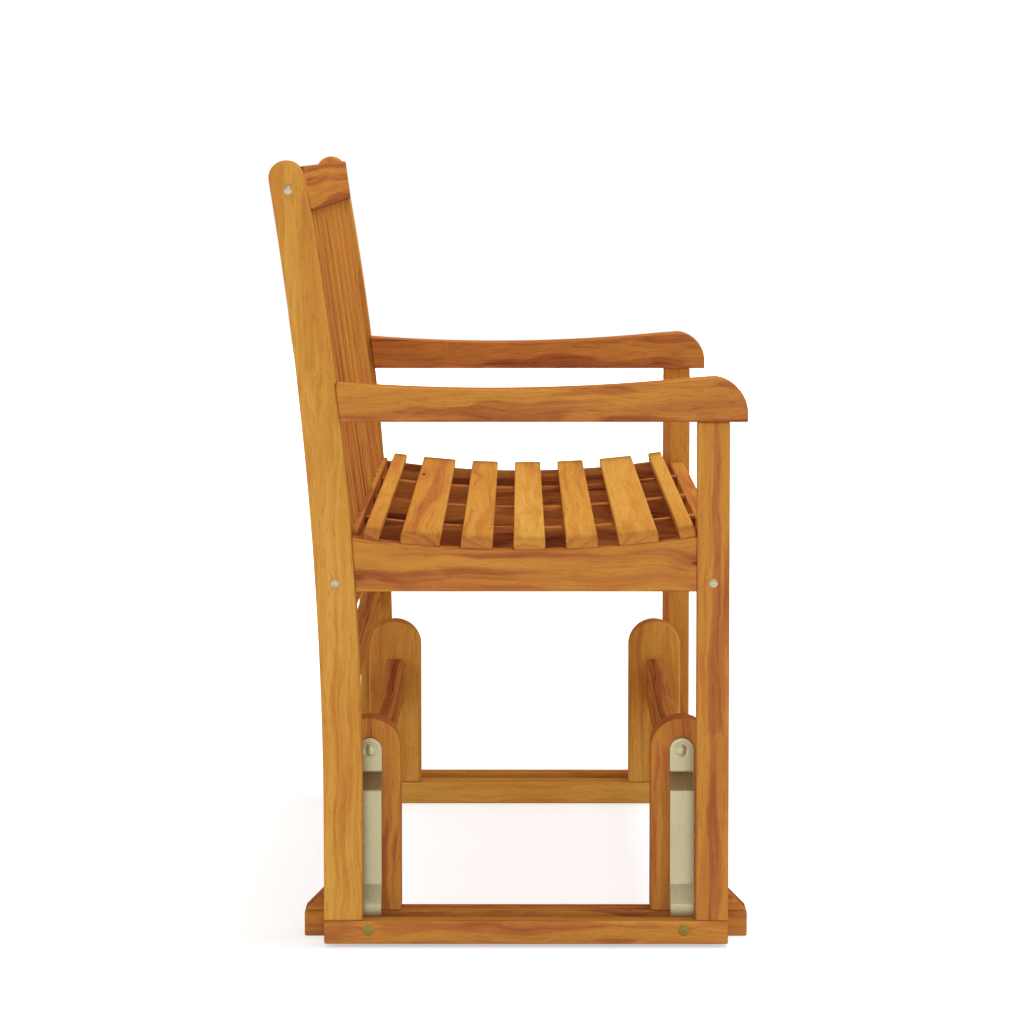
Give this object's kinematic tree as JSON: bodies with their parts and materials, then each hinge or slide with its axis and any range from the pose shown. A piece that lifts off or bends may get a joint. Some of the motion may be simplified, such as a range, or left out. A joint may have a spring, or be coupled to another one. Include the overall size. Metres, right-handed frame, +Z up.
{
  "type": "swing bench",
  "caption": "Wooden gliding swing bench: a slatted chair frame with arms hangs from a low base on bent flat steel links.",
  "frame": {"origin": "on the floor under the middle of the bench's bounding box, with the chair hanging still", "axes": "+X to the sitter's left along the bench, -Y out of the front of the seat, +Z up"},
  "size_m": [1.2, 0.551, 0.904],
  "materials": {
    "acacia": "oiled, with red-brown streaks along the grain",
    "zinc_steel": "pale yellow zinc plating",
    "bright_steel": "bright zinc plating",
    "brass_plate": "dull brass plating"
  },
  "bodies": {
    "base": {"base_rail_right": "acacia", "base_rail_left": "acacia", "post_front_right": "acacia", "post_front_left": "acacia", "post_rear_right": "acacia", "post_rear_left": "acacia", "base_gussets": "acacia", "base_beam_front": "acacia", "base_beam_rear": "acacia", "base_bolts": "bright_steel", "upper_pivot_bolts": "bright_steel", "upper_pivot_washers": "bright_steel", "upper_pivot_nuts": "bright_steel"},
    "link_front_right": {"link_front_right": "zinc_steel"},
    "link_front_left": {"link_front_left": "zinc_steel"},
    "link_rear_right": {"link_rear_right": "zinc_steel"},
    "link_rear_left": {"link_rear_left": "zinc_steel"},
    "chair": {"runner_right": "acacia", "runner_left": "acacia", "leg_front_right": "acacia", "leg_front_left": "acacia", "leg_rear_right": "acacia", "leg_rear_left": "acacia", "arm_right": "acacia", "arm_left": "acacia", "seat_side_rail_right": "acacia", "seat_side_rail_left": "acacia", "seat_front_rail": "acacia", "seat_rear_rail": "acacia", "seat_bearers": "acacia", "seat_slat_1": "acacia", "seat_slat_2": "acacia", "seat_slat_3": "acacia", "seat_slat_4": "acacia", "seat_slat_5": "acacia", "seat_slat_6": "acacia", "seat_slat_7": "acacia", "rear_stretcher": "acacia", "back_top_rail": "acacia", "back_slat_01": "acacia", "back_slat_02": "acacia", "back_slat_03": "acacia", "back_slat_04": "acacia", "back_slat_05": "acacia", "back_slat_06": "acacia", "back_slat_07": "acacia", "back_slat_08": "acacia", "back_slat_09": "acacia", "back_slat_10": "acacia", "back_slat_11": "acacia", "back_slat_12": "acacia", "back_slat_13": "acacia", "back_slat_14": "acacia", "back_slat_15": "acacia", "frame_bolts": "bright_steel", "frame_dowels": "acacia", "slat_screws": "bright_steel", "lower_pivot_bolts": "bright_steel", "lower_pivot_washers": "bright_steel", "lower_pivot_nuts": "brass_plate"}
  },
  "joints": [
    {"name": "swing", "type": "hinge", "parent": "base", "child": "link_rear_left", "pos_m": [0.5432, 0.16447, 0.22], "axis": [1, 0, 0], "range_deg": [-24, 24]},
    {"name": "swing_rear_right", "type": "hinge", "parent": "base", "child": "link_rear_right", "pos_m": [-0.5432, 0.16447, 0.22], "axis": [1, 0, 0], "range_deg": [-24, 24]},
    {"name": "swing_front_left", "type": "hinge", "parent": "base", "child": "link_front_left", "pos_m": [0.5432, -0.19853, 0.22], "axis": [1, 0, 0], "range_deg": [-24, 24]},
    {"name": "swing_front_right", "type": "hinge", "parent": "base", "child": "link_front_right", "pos_m": [-0.5432, -0.19853, 0.22], "axis": [1, 0, 0], "range_deg": [-24, 24]},
    {"name": "chair_hang", "type": "hinge", "parent": "link_rear_left", "child": "chair", "pos_m": [0.5617, 0.16447, 0.02], "axis": [1, 0, 0], "range_deg": [-24, 24]}
  ],
  "couplings": [
    {"joint": "swing_rear_right", "follows": "swing", "ratio": 1},
    {"joint": "swing_front_left", "follows": "swing", "ratio": 1},
    {"joint": "swing_front_right", "follows": "swing", "ratio": 1},
    {"joint": "chair_hang", "follows": "swing", "ratio": -1}
  ]
}
